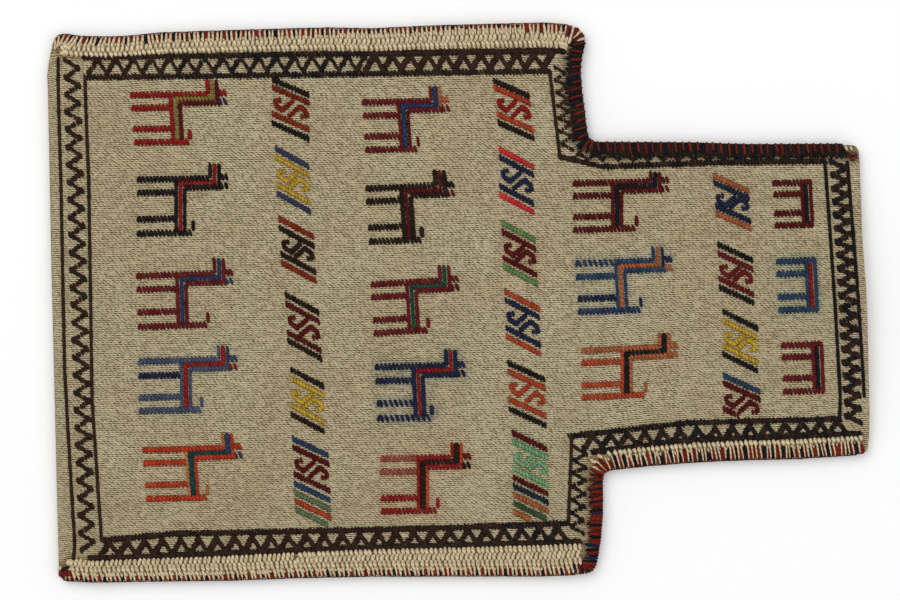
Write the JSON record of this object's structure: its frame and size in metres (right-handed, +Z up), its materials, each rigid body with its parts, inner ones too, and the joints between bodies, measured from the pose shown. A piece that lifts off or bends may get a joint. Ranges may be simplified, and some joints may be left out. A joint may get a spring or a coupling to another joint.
{
  "type": "flat-woven kilim neck bag",
  "caption": "Flat-woven kilim bag with a wide body and a narrower neck, worked in coloured wool with goats and hooked motifs inside a dark zigzag border.",
  "frame": {"origin": "on the ground, under the middle of the bag's bounding box", "axes": "+X along the bag towards its mouth, +Z up out of the front, the bag lying on its back"},
  "size_m": [0.562, 0.3806, 0.0171],
  "materials": {
    "ground": "matte beige wool flatweave",
    "cream": "matte cream wool",
    "umber": "matte dark brown wool",
    "black": "matte black-brown wool",
    "maroon": "matte maroon wool",
    "red": "matte red wool",
    "rust": "matte rust wool",
    "orange": "matte orange wool",
    "gold": "matte gold wool",
    "mint": "matte light green wool",
    "blue": "matte blue wool",
    "navy": "matte navy wool"
  },
  "bodies": {
    "root": {"cloth": "ground", "border": "umber", "selvedge_top": "cream", "selvedge_bottom": "cream", "selvedge_neck": "cream", "shoulder_seam_top": "umber", "neck_seam_top": "umber", "shoulder_seam_bottom": "red", "goat_a1": "red", "goat_a2": "black", "goat_a3": "maroon", "goat_a4": "blue", "goat_a5": "orange", "goat_b1": "maroon", "goat_b2": "umber", "goat_b3": "maroon", "goat_b4": "navy", "goat_b5": "red", "goat_c1": "maroon", "goat_c2": "blue", "goat_c3": "orange", "figure_d1": "maroon", "figure_d2": "blue", "figure_d3": "maroon", "hook_a1": "red", "hook_a2": "gold", "hook_a3": "rust", "hook_a4": "maroon", "hook_a5": "gold", "hook_a6": "maroon", "hook_b1": "maroon", "hook_b2": "navy", "hook_b3": "maroon", "hook_b4": "navy", "hook_b5": "orange", "hook_b6": "mint", "hook_c1": "navy", "hook_c2": "red", "hook_c3": "gold", "hook_c4": "maroon"}
  },
  "joints": []
}
